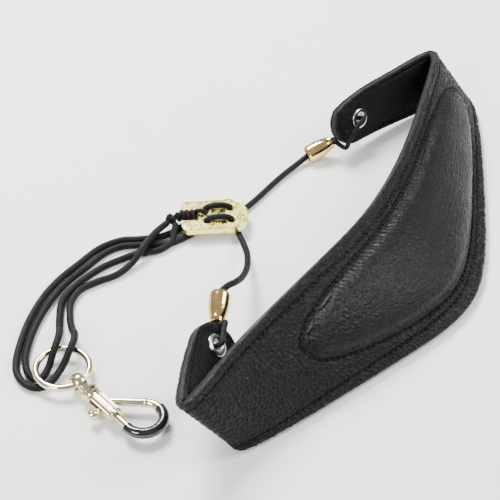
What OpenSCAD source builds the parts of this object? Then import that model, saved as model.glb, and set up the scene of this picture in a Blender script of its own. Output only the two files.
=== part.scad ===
// Neck strap for a saxophone: a padded leather band, two cords with bell beads,
// a cast slider plate, and a swivel snap hook on a ring. Millimetres, +Z up.
// It is modelled as it lies on a table, with the band standing on its lower edge.

/* [Leather band] */
// Thickness of the outer leather
leather_t = 1.3; // [1.0:0.1:1.6]
// Thickness of the foam between the leathers
foam_t = 1.6; // [1.2:0.1:2.0]
// Thickness of the lining leather
lining_t = 1.1; // [0.8:0.1:1.3]
// Height of the padded panel over the leather
pad_h = 7; // [4:0.5:8]
// Thickness of the leather that covers the pad
pad_cover_t = 1.2; // [1.0:0.1:1.6]
// Diameter of the sewing thread
thread_d = 0.8; // [0.6:0.1:1.0]
// Distance of the edge stitching from the edge, as a share of the width
stitch_inset = 0.1; // [0.07:0.01:0.13]

/* [Eyelets] */
// Outer diameter of an eyelet's flange
eyelet_d = 11; // [10:0.5:12]
// Radius of the hole through an eyelet
eyelet_r = 2.5; // [2.3:0.1:2.7]

/* [Cords] */
// Diameter of the neck cords
neck_cord_d = 3.3; // [3.0:0.1:3.4]
// Diameter of the hook cords
hook_cord_d = 3.6; // [3.2:0.1:3.6]

/* [Bell beads] */
// Length of a bead
bead_l = 15; // [13:0.5:16]
// Widest diameter of a bead, at its shoulder
bead_d = 10; // [9.6:0.2:11]
// Diameter of a bead's narrow end
bead_neck_d = 6.8; // [6.8:0.1:7.4]

/* [Slider] */
// Length of the slider plate
plate_l = 34; // [32:1:36]
// Width of the slider plate
plate_w = 22.5; // [22:0.5:24]
// Thickness of the slider plate
plate_t = 3; // [2.4:0.2:3.2]
// Radius of the four cord holes
plate_hole_r = 2.4; // [2.3:0.1:2.6]

/* [Snap hook] */
// Radius of the ring, to the middle of its wire
ring_r = 12.2; // [11.5:0.1:13]
// Diameter of the ring's wire
ring_wire_d = 3.2; // [2.8:0.1:3.2]
// Diameter of the hook's barrel
barrel_d = 6.6; // [6.4:0.1:7]
// Length of the hook's barrel
barrel_l = 20; // [19:0.5:22]
// Diameter of the trigger bolt
bolt_d = 3.4; // [3.2:0.1:3.4]
// Radius of the hook's bend, to the middle of its wire
hook_r = 8.8; // [8.4:0.1:9.2]
// Diameter of the hook's wire
hook_wire_d = 3.8; // [3.4:0.1:4]
// Thickness of the rubber dip on the hook's bend
dip_t = 0.6; // [0.4:0.1:0.8]

/* [Hidden] */
$fn = 48;

// The origin is at the middle of the strap's base, on the table.
// Stations of the band from the lower tab to the upper tab: upper edge, lower edge.
BAND = [
    [[-37.7, -78.5, 35], [-23.5, -71, 20]],
    [[-39.5, -92, 35], [-20.3, -80.9, 16]],
    [[-42.4, -107.2, 35.5], [-19.3, -95, 9]],
    [[-43, -120, 37], [-18.4, -110.5, 4]],
    [[-43.5, -127.5, 39], [-21.5, -121.5, 2]],
    [[-42.5, -135.5, 40], [-17.5, -125.5, 2]],
    [[-34.5, -124, 40], [-6.5, -119, 2]],
    [[-22, -101, 40], [17, -102, 2]],
    [[2, -67, 40], [55, -72, 2]],
    [[23, -37, 39], [84, -49, 2]],
    [[41, -11, 38], [100, -22, 2]],
    [[59, 27, 37], [106, 32, 2]],
    [[72, 68, 36], [110, 81, 2]],
    [[82, 105, 34.5], [111, 103, 2]],
    [[89, 133, 32], [111, 129, 2]],
    [[83, 136, 31], [100, 131, 2]],
    [[65, 118, 30.5], [81, 119, 2]],
    [[45, 102, 29.5], [58, 101, 4]],
    [[33, 87.5, 28], [42.5, 87, 5.5]],
    [[27, 79, 27], [35, 79, 6]]
];
band_end = len(BAND) - 1;
// How far the round end of a tab reaches, in stations
tab_round = 0.9;
end_steps = 6;
body_steps = 46;
cross_steps = 6;
stack_t = leather_t + foam_t + lining_t;
layer_gap = 0.05;
// Pad: first and last station, and its edges as shares of the band's width
pad_from = 7.45;
pad_to = 13.35;
pad_low = 0.17;
pad_high = 0.84;
// Eyelets: stations and share of the width
lower_eyelet_at = 1;
upper_eyelet_at = 17.62;
// Where the cord loops pass over the rim of each tab: station and share of the width
lower_rim_at = [0.04, 0.64];
upper_rim_at = [19.01, 0.86];
barrel_wall = 0.5;

// Cord routes: points in order along each cord.
LOWER_NECK = [[-28, -58.2, 26.9], [-27.2, -54, 28.3], [-24.2, -49.8, 27.6], [-20, -43, 23.4],
    [-17, -32, 16.6], [-15, -19, 11], [-15, -6, 7], [-17, 5, 4], [-19, 12.5, 2.4], [-20.6, 18.1, 1.9]];
UPPER_NECK = [[19.8, 77.2, 5.4], [16.3, 75.5, 4], [11.8, 71.3, 2.4], [4, 63, 2], [-4, 52, 1.8],
    [-10, 43, 1.8], [-16, 35.4, 1.8], [-20, 31.1, 1.9]];
HOOK_OUTER = [[-40.5, 27.7, 1.9], [-45, 25, 1.9], [-51, 18, 1.9], [-59, 13, 1.9], [-69, 11, 1.9],
    [-79, 10, 1.9], [-89, 4, 1.9], [-98, -7, 1.9], [-107, -19, 1.9], [-114, -33, 1.9], [-119, -51, 1.9],
    [-121, -69, 1.9], [-120, -80, 1.9], [-115, -87.5, 1.9], [-109, -89.5, 1.9], [-103.5, -86, 2.1],
    [-99, -79, 4.6], [-96, -72.4, 8.6], [-94.5, -66.8, 9.5], [-95, -60.6, 7.4], [-97, -54, 3.2],
    [-99, -45, 1.9], [-99.5, -35, 1.9], [-96, -26, 1.9], [-88, -20, 1.9], [-79, -15, 1.9],
    [-72, -8, 3.1], [-67, 0, 6.2], [-62, 10, 6.2], [-59, 14.6, 6.1], [-55.95, 18.1, 6.4]];
HOOK_INNER = [[-40, 18.7, 1.9], [-45, 14, 1.9], [-52, 9, 1.9], [-60, 7, 1.9], [-69, 6.5, 1.9],
    [-78, 5.5, 1.9], [-86, 0.5, 1.9], [-94, -9.5, 1.9], [-103, -21, 1.9], [-110, -35, 1.9],
    [-115, -52, 1.9], [-117, -68, 1.9], [-116, -77, 1.9], [-113, -83, 1.9], [-108.5, -84, 1.9],
    [-105.5, -79, 3.6], [-103.5, -73.4, 8], [-102, -67.3, 9.9], [-102, -60.6, 7.9], [-103, -54, 3.4],
    [-104, -45, 1.9], [-104, -35, 1.9], [-100.5, -26, 1.9], [-94, -17.5, 1.9], [-86, -9.5, 1.9],
    [-77, -3.5, 1.9], [-68, 1, 1.9], [-60, 2.5, 1.9], [-53.5, 8, 2.4], [-52.3, 13, 3.9], [-51.6, 17, 5.6]];

// Lower bead: middle of its narrow end and its direction to the mouth
LOWER_BEAD = [[-29, -69.2, 22.8], [0.1, 0.93, 0.36]];
UPPER_BEAD = [[29.8, 81.4, 9.4], [-0.87, -0.36, -0.34]];

// Slider: the middle of its four holes, its turn about Z, and the height of its underside
slider_at = [-30, 24.1, 4.2];
slider_turn = 5;
hole_x = 6;
hole_y = 4.5;
plate_left = 19;
notch_l = 8.6;

// Hook: ring centre, direction of the barrel, and the eye on the ring's wire
ring_at = [-98.7, -80.8, 5.4];
hook_turn = -47.5;
eye_r = 3.4;
// Outline of half the swivel eye's broad band: distance from eye_r and half width
EYE_SIDE = [[1.3, 0], [1.2, 1], [0.9, 1.9], [0.4, 2.5], [-0.2, 2.7], [-0.8, 2.3], [-1.1, 1.4]];
// Outline of the barrel's collar, with a groove between its two rims: radius and height
COLLAR = [[0, 0], [3.8, 0], [4.5, 0.5], [4.7, 1.2], [4.5, 1.9], [3.7, 2.4], [3.6, 2.9], [4.2, 3.3],
    [4.3, 3.9], [4.1, 4.4], [3.2, 4.8], [0, 4.8]];
barrel_at = 7.1;
barrel_bore_r = 1.75;
bolt_travel = 5.5;
bolt_reach = 7.2;
slot_w = 2.4;
knob_at = 8;
// How far the bolt goes on behind the middle of the thumb post
bolt_tail = 1.6;
// Start of the space in the barrel for the stem's head
head_at = 8.9;
post_r = 1.1;
stem_r = 1.5;
head_r = 2.3;
head_t = 1;

function unit(v) = v / norm(v);
function clamp(i, top) = max(0, min(top, i));

// Uniform cubic B-spline through a list of points, at place u from 0 to the last index.
function bs_point(p, i) = i < 0 ? 2 * p[0] - p[1]
    : i > len(p) - 1 ? 2 * p[len(p) - 1] - p[len(p) - 2]
    : p[i];
function bs(p, u) =
    let (i = clamp(floor(u), len(p) - 2), t = u - i)
    (pow(1 - t, 3) * bs_point(p, i - 1)
    + (3 * pow(t, 3) - 6 * t * t + 4) * bs_point(p, i)
    + (-3 * pow(t, 3) + 3 * t * t + 3 * t + 1) * bs_point(p, i + 1)
    + pow(t, 3) * bs_point(p, i + 2)) / 6;

upper_edge = [for (s = BAND) s[0]];
lower_edge = [for (s = BAND) s[1]];

// A point of the band's middle surface: station s, share v of the width from the upper edge
function on_band(s, v) = (1 - v) * bs(upper_edge, s) + v * bs(lower_edge, s);
// Outward normal of the band, away from the neck
function band_normal(s, v) =
    let (a = max(0, s - 0.1), b = min(band_end, s + 0.1))
    unit(cross(bs(lower_edge, s) - bs(upper_edge, s), on_band(b, v) - on_band(a, v)));
function off_band(s, v, d) = on_band(s, v) + d * band_normal(s, v);

// Half width of the band as a share, round at both tabs
function round_share(e) = e >= 1 ? 1 : sqrt(max(0, 1 - pow(1 - e, 2)));
function half_share(s) = 0.5 * min(round_share(s / tab_round), round_share((band_end - s) / tab_round));

end_run = [for (i = [0:end_steps - 1]) tab_round * (1 - cos(i * 90 / end_steps))];
band_run = concat(
    [for (s = end_run) max(s, 0.004)],
    [for (i = [0:body_steps]) tab_round + i * (band_end - 2 * tab_round) / body_steps],
    [for (i = [end_steps - 1:-1:0]) band_end - max(end_run[i], 0.004)]);

// A closed slab from two matching grids of points, rows by columns
module slab(over, under) {
    rows = len(over);
    cols = len(over[0]);
    n = rows * cols;
    top_faces = [for (i = [0:rows - 2], j = [0:cols - 2])
        each [[i * cols + j, (i + 1) * cols + j + 1, (i + 1) * cols + j],
            [i * cols + j, i * cols + j + 1, (i + 1) * cols + j + 1]]];
    under_faces = [for (f = top_faces) [f[2] + n, f[1] + n, f[0] + n]];
    rim = concat([for (i = [0:rows - 2]) i * cols], [for (j = [0:cols - 2]) (rows - 1) * cols + j],
        [for (i = [rows - 1:-1:1]) i * cols + cols - 1], [for (j = [cols - 1:-1:1]) j]);
    side_faces = [for (k = [0:len(rim) - 1])
        let (a = rim[k], b = rim[(k + 1) % len(rim)])
        each [[a, b, a + n], [b, b + n, a + n]]];
    polyhedron(
        points = concat([for (r = over) each r], [for (r = under) each r]),
        faces = concat(top_faces, under_faces, side_faces),
        convexity = 8);
}

// One layer of the band between two distances from its middle surface, drawn in at its edges
module band_layer(low, high, inset) {
    function row(s, d) = [for (j = [0:cross_steps])
        let (w = half_share(s) * (1 - 2 * inset))
        off_band(s, 0.5 - w + 2 * w * j / cross_steps, d)];
    slab([for (s = band_run) row(s, high)], [for (s = band_run) row(s, low)]);
}

// A tube of radius r swept along the points of a route, closed or open
module tube(route, r, sides, closed = false) {
    n = len(route);
    tangents = [for (i = [0:n - 1]) closed
        ? unit(route[(i + 1) % n] - route[(i + n - 1) % n])
        : unit(route[min(n - 1, i + 1)] - route[max(0, i - 1)])];
    rings = [for (i = [0:n - 1])
        let (t = tangents[i], a = unit(cross(t, [0.13, 0.17, 0.98])), b = cross(t, a))
        each [for (k = [0:sides - 1]) route[i] + r * (cos(k * 360 / sides) * a + sin(k * 360 / sides) * b)]];
    spans = closed ? n : n - 1;
    walls = [for (i = [0:spans - 1], k = [0:sides - 1])
        let (c = (k + 1) % sides, m = ((i + 1) % n) * sides)
        each [[i * sides + k, i * sides + c, m + c], [i * sides + k, m + c, m + k]]];
    caps = closed ? [] : [[for (k = [sides - 1:-1:0]) k], [for (k = [0:sides - 1]) (n - 1) * sides + k]];
    polyhedron(points = rings, faces = concat(walls, caps), convexity = 8);
}

// Points along a smooth route, evenly spaced between its control points
function smooth_route(p, per) = [for (i = [0:per * (len(p) - 1)]) bs(p, i / per)];

// Places a child on the band with its Z axis along the outward normal
module on_surface(s, v, d) {
    n = band_normal(s, v);
    translate(off_band(s, v, d))
        rotate([0, acos(n.z), atan2(n.y, n.x)])
            children();
}

// Places a child with its Z axis along a direction
module along(place) {
    d = unit(place[1]);
    translate(place[0])
        rotate([0, acos(d.z), atan2(d.y, d.x)])
            children();
}

module eyelet_hole(s) {
    on_surface(s, 0.5, 0)
        cylinder(r = eyelet_r + barrel_wall + 0.15, h = 4 * stack_t, center = true);
}

outer_face = stack_t / 2;
lining_face = -stack_t / 2;
foam_low = lining_face + lining_t;
foam_high = outer_face - leather_t;

module outer_leather() {
    color("#1b1b1d")
        difference() {
            band_layer(foam_high + layer_gap, outer_face, 0);
            eyelet_hole(lower_eyelet_at);
            eyelet_hole(upper_eyelet_at);
        }
}

module foam_core() {
    color("#4a4a4a")
        difference() {
            band_layer(foam_low, foam_high, 0.03);
            eyelet_hole(lower_eyelet_at);
            eyelet_hole(upper_eyelet_at);
        }
}

module lining() {
    color("#151517")
        difference() {
            band_layer(lining_face, foam_low - layer_gap, 0);
            eyelet_hole(lower_eyelet_at);
            eyelet_hole(upper_eyelet_at);
        }
}

// The pad's outline narrows to round ends; its crown is highest along the middle.
pad_steps = 26;
pad_cols = 8;
pad_run = [for (i = [0:pad_steps])
    (pad_from + pad_to) / 2 - (pad_to - pad_from) / 2 * cos(i * 180 / pad_steps)];
function pad_share(s) =
    let (q = (2 * s - pad_from - pad_to) / (pad_to - pad_from))
    pow(max(0.0004, 1 - pow(abs(q), 3.2)), 0.42);
function pad_v(s, j) =
    let (m = (pad_low + pad_high) / 2, w = (pad_high - pad_low) / 2 * pad_share(s))
    m - w + 2 * w * j / pad_cols;
function crown(s, j) =
    let (q = abs(2 * s - pad_from - pad_to) / (pad_to - pad_from), r = abs(2 * j / pad_cols - 1))
    pow(max(0, 1 - pow(q, 4)), 0.5) * pow(max(0, 1 - pow(r, 3)), 0.5);

pad_base = outer_face + 2 * layer_gap;

module pad_cover() {
    color("#202022")
        slab(
            [for (s = pad_run) [for (j = [0:pad_cols])
                off_band(s, pad_v(s, j), pad_base + pad_cover_t + (pad_h - pad_cover_t) * crown(s, j))]],
            [for (s = pad_run) [for (j = [0:pad_cols])
                off_band(s, pad_v(s, j), pad_base + (pad_h - pad_cover_t - 0.1) * crown(s, j))]]);
}

// Foam under the cover, a little smaller than the space it fills
foam_share = 0.9;
module pad_foam() {
    color("#6a6a6a")
        slab(
            [for (s = pad_run) [for (j = [0:pad_cols])
                off_band(foam_s(s), foam_v(s, j), pad_base + 0.3 + (pad_h - 2.6) * crown(foam_s(s), j))]],
            [for (s = pad_run) [for (j = [0:pad_cols])
                off_band(foam_s(s), foam_v(s, j), pad_base + 0.1)]]);
}
function foam_s(s) = (pad_from + pad_to) / 2 + foam_share * (s - (pad_from + pad_to) / 2);
function foam_v(s, j) =
    let (m = (pad_low + pad_high) / 2)
    m + foam_share * (pad_v(foam_s(s), j) - m);

// Height of the thread's middle over the band's middle surface
thread_level = outer_face + thread_d / 2 + 0.27;
// Thread along a closed line on the outer face
edge_side = 54;
module edge_stitching() {
    first = 0.55;
    last = band_end - 0.55;
    function side_s(i) = first + i * (last - first) / edge_side;
    line = concat(
        [for (i = [0:edge_side]) off_band(side_s(i), stitch_inset, thread_level)],
        [for (j = [1:3])
            off_band(last + 0.14 * sin(j * 45), stitch_inset + j * (1 - 2 * stitch_inset) / 4, thread_level)],
        [for (i = [edge_side:-1:0]) off_band(side_s(i), 1 - stitch_inset, thread_level)],
        [for (j = [3:-1:1])
            off_band(first - 0.14 * sin(j * 45), stitch_inset + j * (1 - 2 * stitch_inset) / 4,
                thread_level)]);
    color("#0d0d0e")
        tube(line, thread_d / 2, 4, closed = true);
}

module pad_stitching() {
    grow = 1.04;
    mid_s = (pad_from + pad_to) / 2;
    mid_v = (pad_low + pad_high) / 2;
    function seam(i, j) = off_band(mid_s + (pad_run[i] - mid_s) * 1.02,
        mid_v + (pad_v(pad_run[i], j) - mid_v) * grow + (j == 0 ? -0.012 : 0.012),
        thread_level);
    line = concat([for (i = [1:pad_steps - 1]) seam(i, 0)],
        [for (i = [pad_steps - 1:-1:1]) seam(i, pad_cols)]);
    color("#0d0d0e")
        tube(line, thread_d / 2, 4, closed = true);
}

// Flanged metal eyelet: its flange is on the lining face and its barrel goes through the leather
eyelet_flange_t = 0.8;
eyelet_gap = 0.3;
module eyelet(s) {
    barrel_top = stack_t + 1.4;
    on_surface(s, 0.5, lining_face - eyelet_gap)
        rotate_extrude()
            polygon([
                [eyelet_r, -eyelet_flange_t], [eyelet_d / 2 - 0.6, -eyelet_flange_t],
                [eyelet_d / 2, -0.4], [eyelet_d / 2, 0], [eyelet_r + barrel_wall, 0],
                [eyelet_r + barrel_wall, barrel_top], [eyelet_r, barrel_top]]);
}
module lower_eyelet() { color("#d9dadc") eyelet(lower_eyelet_at); }
module upper_eyelet() { color("#d9dadc") eyelet(upper_eyelet_at); }

module eyelet_washer(s) {
    on_surface(s, 0.5, outer_face + eyelet_gap)
        difference() {
            cylinder(r = eyelet_d / 2 - 0.3, h = eyelet_flange_t);
            translate([0, 0, -1])
                cylinder(r = eyelet_r + barrel_wall + 0.05, h = 3);
        }
}
module lower_eyelet_washer() { color("#c9cacd") eyelet_washer(lower_eyelet_at); }
module upper_eyelet_washer() { color("#c9cacd") eyelet_washer(upper_eyelet_at); }

// A loop of cord from the knot in the bead, over the tab's rim, through the eyelet and back. It
// follows the tab's faces over the shares inner_end and outer_end of the way from eyelet to rim.
loop_r = 1.35;
leg_gap = 1.4;
module cord_loop(s, rim_at, bead, inner_end, outer_end) {
    d = unit(bead[1]);
    n = band_normal(s, 0.5);
    side = leg_gap * unit(n - (n * d) * d);
    clear = outer_face + eyelet_gap + eyelet_flange_t + loop_r + 0.25;
    function leg(k, off) = off_band(s + (rim_at[0] - s) * k, 0.5 + (rim_at[1] - 0.5) * k, off);
    inside = bead[0] + d * 3;
    entry = bead[0] - d * 0.3;
    outside = bead[0] - d * 1.4;
    line = concat(
        [inside - side, entry - side, outside - side],
        [for (k = [inner_end, 0.75, 0.5, 0.25]) leg(k, -clear)],
        [off_band(s, 0.5, -clear - 0.5), off_band(s, 0.5, 0), off_band(s, 0.5, clear + 0.5)],
        [for (k = [0.25, 0.5, 0.75, outer_end]) leg(k, clear)],
        [outside + side, entry + side, inside + side]);
    tube(line, loop_r, 8);
}
module lower_cord_loop() { color("#161617") cord_loop(lower_eyelet_at, lower_rim_at, LOWER_BEAD, 1, 1); }
module upper_cord_loop() { color("#161617") cord_loop(upper_eyelet_at, upper_rim_at, UPPER_BEAD, 1.05, 0.85); }

// Knot in the wide part of a bead, between the loop's two legs and the neck cord
module bead_knot(bead) {
    along(bead)
        translate([0, 0, bead_l - 7.2])
            rotate_extrude()
                polygon([[0, -3.6], [1.6, -3.4], [3.0, -2], [3.4, 0], [3.0, 2], [1.6, 3.2], [0, 3.4]]);
}
module lower_knot() { color("#161617") bead_knot(LOWER_BEAD); }
module upper_knot() { color("#161617") bead_knot(UPPER_BEAD); }

module lower_neck_cord() { color("#19191b") tube(smooth_route(LOWER_NECK, 1), neck_cord_d / 2, 8); }
module upper_neck_cord() { color("#19191b") tube(smooth_route(UPPER_NECK, 1), neck_cord_d / 2, 8); }
module hook_cord_outer() { color("#19191b") tube(HOOK_OUTER, hook_cord_d / 2, 8); }
module hook_cord_inner() { color("#19191b") tube(HOOK_INNER, hook_cord_d / 2, 8); }

// Bell bead: narrow neck, flaring body with a rounded shoulder, open mouth
module bead(place) {
    neck_r = bead_neck_d / 2;
    r = bead_d / 2;
    wall = 0.5;
    along(place)
        rotate_extrude()
            polygon(concat(
                [[neck_r - wall, 0], [neck_r - 0.3, 0], [neck_r, 0.3], [neck_r + 0.15, 2]],
                [for (a = [0:15:90]) [neck_r + 0.15 + (r - neck_r - 0.15) * sin(a),
                    2 + (bead_l - 5) * (1 - cos(a)) * 0.55 + (bead_l - 5) * 0.45 * a / 90]],
                [[r - 0.1, bead_l - 1.2], [r - 0.7, bead_l], [r - 1.5, bead_l], [r - 1.5, bead_l - 4],
                    [neck_r + 0.3, 4.4], [neck_r - wall, 2.6]]));
}
module lower_bead() { color("#e3c58d") bead(LOWER_BEAD); }
module upper_bead() { color("#e3c58d") bead(UPPER_BEAD); }

module at_slider() {
    translate(slider_at)
        rotate([0, 0, slider_turn])
            children();
}

// Cast plate with four cord holes and a notch for the tied cord
module slider_plate() {
    corner = 7;
    right = plate_l - plate_left;
    color("#efe3a6")
        at_slider()
            difference() {
                linear_extrude(plate_t)
                    union() {
                        for (y = [-1, 1])
                            translate([right - corner - 2, y * (plate_w / 2 - corner - 0.5)])
                                circle(corner + 1);
                        translate([-plate_left + 4, -plate_w / 2])
                            square([plate_l - 13, plate_w]);
                        for (y = [-1, 1])
                            translate([-plate_left + 4, y * (plate_w / 2 - 4)])
                                circle(4);
                        translate([-plate_left, -plate_w / 2 + 4])
                            square([6, plate_w - 8]);
                        translate([right - 9, -plate_w / 2 + 7.5])
                            square([9, plate_w - 15]);
                    }
                for (x = [-1, 1], y = [-1, 1])
                    translate([x * hole_x, y * hole_y, -1])
                        cylinder(r = plate_hole_r, h = plate_t + 2);
                translate([-plate_left - 1, -3.4, -1])
                    cube([notch_l + 1, 6.8, plate_t + 2]);
            }
}

// Cord that comes up through one hole, over the bar and down through the next
WEAVE = [[8.9, 0, -2.3], [7.2, 0, -1.7], [6.1, 0, 0], [6, 0, 2.6], [5.4, 0, 4.0], [3.2, 0, 5.0], [0, 0, 5.3],
    [-3.2, 0, 5.0], [-5.4, 0, 4.0], [-6, 0, 2.6], [-6.1, 0, 0], [-7.2, 0, -1.7], [-8.9, 0, -2.3]];
module weave(y) {
    color("#19191b")
        at_slider()
            tube([for (p = WEAVE) [p.x, y, p.z]], neck_cord_d / 2, 8);
}
module cord_weave_upper() { weave(hole_y); }
module cord_weave_lower() { weave(-hole_y); }

// Four turns of cord tied in the notch at the slider's left end, and the knot that stops them
turn_r = 2;
turn_cord_r = 1.2;
turn_pitch = 2.5;
turn_level = 3.4;
module tie_wrap() {
    color("#19191b")
        at_slider()
            for (i = [0:3])
                translate([-plate_left - 0.5 + i * turn_pitch, 0, turn_level])
                    rotate([0, 90, 0])
                        rotate_extrude()
                            translate([turn_r, 0])
                                circle(turn_cord_r, $fn = 16);
}
module stopper_knot() {
    color("#19191b")
        at_slider()
            translate([-plate_left - 5, -1.6, 2.8])
                scale([1, 1, 0.9])
                    sphere(2.9, $fn = 24);
}

module at_ring() {
    translate(ring_at)
        rotate([0, 0, hook_turn])
            children();
}
module ring() {
    color("#efe0ba")
        at_ring()
            rotate_extrude($fn = 96)
                translate([ring_r, 0])
                    circle(ring_wire_d / 2, $fn = 24);
}

// Hook frame: X runs along the barrel from the ring's wire
module at_hook() {
    at_ring()
        translate([ring_r, 0, 0])
            children();
}

module swivel_eye() {
    color("#efe0ba")
        at_hook()
            union() {
                rotate([90, 0, 0])
                    rotate_extrude()
                        polygon(concat(
                            [for (i = [0:len(EYE_SIDE) - 1]) [eye_r + EYE_SIDE[i].x, EYE_SIDE[i].y]],
                            [for (i = [len(EYE_SIDE) - 1:-1:1]) [eye_r + EYE_SIDE[i].x, -EYE_SIDE[i].y]]));
                translate([eye_r, 0, 0])
                    rotate([0, 90, 0])
                        cylinder(r1 = 2.9, r2 = 1.9, h = barrel_at - eye_r - 0.3);
                translate([eye_r + 0.5, 0, 0])
                    rotate([0, 90, 0])
                        cylinder(r = stem_r, h = head_at - eye_r);
                translate([head_at + 0.1, 0, 0])
                    rotate([0, 90, 0])
                        cylinder(r = head_r, h = head_t);
            }
}

// The bend of the hook is an arc about a point beside the barrel's mouth.
mouth_at = barrel_at + barrel_l;
bend_at = [mouth_at + 8.4, hook_r - 0.5, 0];
module bend_arc(r, from, to) {
    translate(bend_at)
        rotate([0, 0, from])
            rotate_extrude(angle = to - from, $fn = 96)
                translate([hook_r, 0])
                    circle(r, $fn = 24);
}
tip_angle = -94;
dip_end_angle = 88;
arm_angle = 135;
arm_l = 16.2;

// Barrel with a collar that holds the stem's head, a bore for the bolt and a slot for the thumb
// post, cast in one with the arm that bends round to the bolt's tip
module hook_body() {
    color("#efe0ba")
        at_hook()
            difference() {
                union() {
                    rotate([0, 90, 0])
                        translate([0, 0, barrel_at])
                            rotate_extrude()
                                polygon(COLLAR);
                    rotate([0, 90, 0])
                        translate([0, 0, barrel_at])
                            cylinder(r = barrel_d / 2, h = barrel_l);
                    bend_arc(hook_wire_d / 2, tip_angle + 3, arm_angle);
                    translate(bend_at + hook_r * [cos(arm_angle), sin(arm_angle), 0])
                        rotate([0, 0, arm_angle + 90])
                            rotate([0, 90, 0]) {
                                sphere(hook_wire_d / 2 + 0.2);
                                translate([0, 0, 0.4])
                                    cylinder(r = hook_wire_d / 2, h = arm_l);
                            }
                }
                rotate([0, 90, 0])
                    translate([0, 0, barrel_at - 1])
                        cylinder(r = stem_r + 0.06, h = head_at - barrel_at + 2);
                rotate([0, 90, 0])
                    translate([0, 0, head_at])
                        cylinder(r = head_r + 0.06, h = head_t + 0.2);
                rotate([0, 90, 0])
                    translate([0, 0, head_at + head_t])
                        cylinder(r = barrel_bore_r, h = barrel_l + 4);
                translate([mouth_at - knob_at - 1.4 - bolt_travel, -barrel_d, -slot_w / 2])
                    cube([bolt_travel + 2.8, barrel_d, slot_w]);
            }
}
module hook_dip() {
    color("#0c0c0d")
        at_hook()
            difference() {
                bend_arc(hook_wire_d / 2 + dip_t, tip_angle, dip_end_angle);
                bend_arc(hook_wire_d / 2 + 0.02, tip_angle + 2.9, dip_end_angle + 4);
            }
}

module trigger_bolt() {
    color("#efe0ba")
        at_hook()
            difference() {
                translate([mouth_at - knob_at - bolt_tail, 0, 0])
                    rotate([0, 90, 0])
                        cylinder(r = bolt_d / 2, h = knob_at + bolt_tail + bolt_reach);
                translate([mouth_at - knob_at, 0, 0])
                    rotate([90, 0, 0])
                        cylinder(r = post_r - 0.06, h = 4);
            }
}

// Thumb knob on a post that is pressed into the bolt
module thumb_knob() {
    color("#efe0ba")
        at_hook()
            translate([mouth_at - knob_at, 0, 0])
                rotate([90, 0, 0])
                    rotate_extrude()
                        polygon([[0, 0.1], [post_r - 0.1, 0.1], [post_r - 0.1, 4.3], [1.9, 4.7], [2.6, 5.8],
                            [2.7, 6.8], [2.4, 8], [1.6, 9], [0, 9.3]]);
}

// Coil spring behind the bolt
module trigger_spring() {
    spring_r = 1.2;
    wire_r = 0.22;
    turns = 4;
    steps = 10;
    from = head_at + head_t + 0.25 + wire_r;
    length = mouth_at - knob_at - bolt_tail - from - wire_r - 0.05;
    coil = [for (i = [0:turns * steps])
        let (a = i * 360 / steps)
        [from + length * i / (turns * steps), spring_r * cos(a), spring_r * sin(a)]];
    color("#b9b9bc")
        at_hook()
            tube(coil, wire_r, 5);
}

outer_leather();
foam_core();
lining();
pad_cover();
pad_foam();
edge_stitching();
pad_stitching();
lower_eyelet();
upper_eyelet();
lower_eyelet_washer();
upper_eyelet_washer();
lower_cord_loop();
upper_cord_loop();
lower_knot();
upper_knot();
lower_neck_cord();
upper_neck_cord();
hook_cord_outer();
hook_cord_inner();
lower_bead();
upper_bead();
slider_plate();
cord_weave_upper();
cord_weave_lower();
tie_wrap();
stopper_knot();
ring();
swivel_eye();
hook_body();
hook_dip();
trigger_bolt();
thumb_knob();
trigger_spring();
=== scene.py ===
import math

import bpy
import numpy as np
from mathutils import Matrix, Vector
from mathutils.bvhtree import BVHTree
from mathutils.kdtree import KDTree


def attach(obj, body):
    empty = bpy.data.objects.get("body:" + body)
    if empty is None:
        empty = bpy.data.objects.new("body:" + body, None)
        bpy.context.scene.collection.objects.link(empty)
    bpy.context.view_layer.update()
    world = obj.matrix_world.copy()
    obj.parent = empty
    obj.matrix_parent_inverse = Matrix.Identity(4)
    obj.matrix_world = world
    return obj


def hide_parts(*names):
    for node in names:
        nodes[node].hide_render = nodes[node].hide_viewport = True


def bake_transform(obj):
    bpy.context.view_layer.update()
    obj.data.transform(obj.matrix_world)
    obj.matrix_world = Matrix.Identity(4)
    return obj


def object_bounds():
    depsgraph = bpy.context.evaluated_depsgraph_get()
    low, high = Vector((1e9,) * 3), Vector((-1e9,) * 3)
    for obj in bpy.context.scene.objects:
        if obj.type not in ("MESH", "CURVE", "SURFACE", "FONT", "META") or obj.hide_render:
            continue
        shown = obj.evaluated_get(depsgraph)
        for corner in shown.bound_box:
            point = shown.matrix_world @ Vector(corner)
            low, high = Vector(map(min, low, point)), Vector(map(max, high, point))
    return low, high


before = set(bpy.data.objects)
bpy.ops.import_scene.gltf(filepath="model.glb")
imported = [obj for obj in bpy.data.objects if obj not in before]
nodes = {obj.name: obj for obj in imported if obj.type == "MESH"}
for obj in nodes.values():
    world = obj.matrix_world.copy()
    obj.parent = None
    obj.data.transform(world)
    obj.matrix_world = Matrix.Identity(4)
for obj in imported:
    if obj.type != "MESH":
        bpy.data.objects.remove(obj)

# Lengths in this script are in millimetres until a mesh is made; MM turns them into metres.
MM = 0.001
cad_low, cad_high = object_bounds()
scene = bpy.context.scene

# -------------------- camera, floor and light

LOOK_AT = Vector((-0.014, 0.005, 0.0))
CAMERA_ELEVATION = math.radians(42)
CAMERA_DISTANCE = 0.70
VIEW_WIDTH = 0.25
SENSOR = 36.0

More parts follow.
